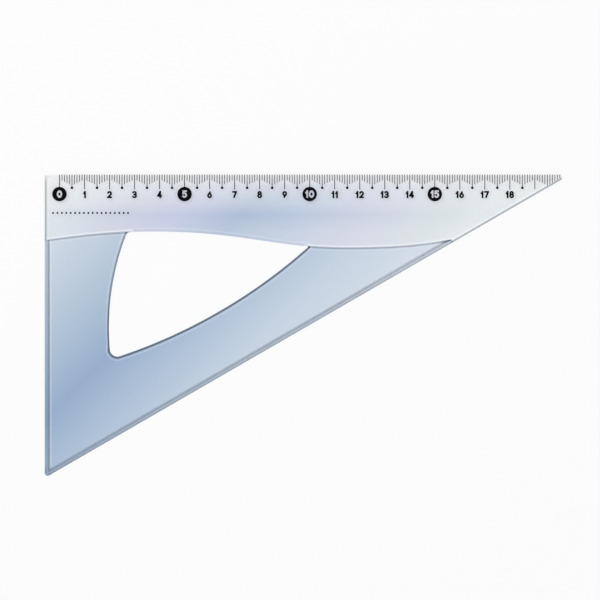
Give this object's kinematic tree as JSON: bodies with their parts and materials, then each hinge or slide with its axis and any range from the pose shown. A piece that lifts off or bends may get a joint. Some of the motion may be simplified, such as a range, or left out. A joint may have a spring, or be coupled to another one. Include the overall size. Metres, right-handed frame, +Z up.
{
  "type": "drafting triangle",
  "caption": "Flat right-angled drafting triangle of clear blue plastic: printed centimetre scale along its long leg, curved step, bevelled rims and a large finger opening.",
  "frame": {"origin": "middle of the triangle's bounding box, on the plane of its flat underside", "axes": "+X along the long leg (the scale edge) towards the 30 degree tip, +Y from the opening towards the scale edge, +Z up out of the printed face"},
  "size_m": [0.2068, 0.1204, 0.002],
  "materials": {
    "clear_plastic": "clear blue-tinted injection-moulded plastic, polished",
    "ink": "thin printed black ink"
  },
  "bodies": {
    "root": {"plate": "clear_plastic", "name_line_dot_01": "ink", "name_line_dot_02": "ink", "name_line_dot_03": "ink", "name_line_dot_04": "ink", "name_line_dot_05": "ink", "name_line_dot_06": "ink", "name_line_dot_07": "ink", "name_line_dot_08": "ink", "name_line_dot_09": "ink", "name_line_dot_10": "ink", "name_line_dot_11": "ink", "name_line_dot_12": "ink", "name_line_dot_13": "ink", "name_line_dot_14": "ink", "name_line_dot_15": "ink", "name_line_dot_16": "ink", "name_line_dot_17": "ink", "name_line_dot_18": "ink", "numeral_1": "ink", "numeral_11_digit_1": "ink", "numeral_11_digit_2": "ink", "numeral_12_digit_1": "ink", "numeral_12_digit_2": "ink", "numeral_13_digit_1": "ink", "numeral_13_digit_2": "ink", "numeral_14_digit_1": "ink", "numeral_14_digit_2": "ink", "numeral_16_digit_1": "ink", "numeral_16_digit_2": "ink", "numeral_17_digit_1": "ink", "numeral_17_digit_2": "ink", "numeral_18_digit_1": "ink", "numeral_18_digit_2": "ink", "numeral_2": "ink", "numeral_3": "ink", "numeral_4": "ink", "numeral_6": "ink", "numeral_7": "ink", "numeral_8": "ink", "numeral_9": "ink", "roundel_0": "ink", "roundel_10": "ink", "roundel_15": "ink", "roundel_5": "ink", "scale_ticks": "ink", "zero_counter_0": "ink", "zero_counter_10": "ink"}
  },
  "joints": []
}
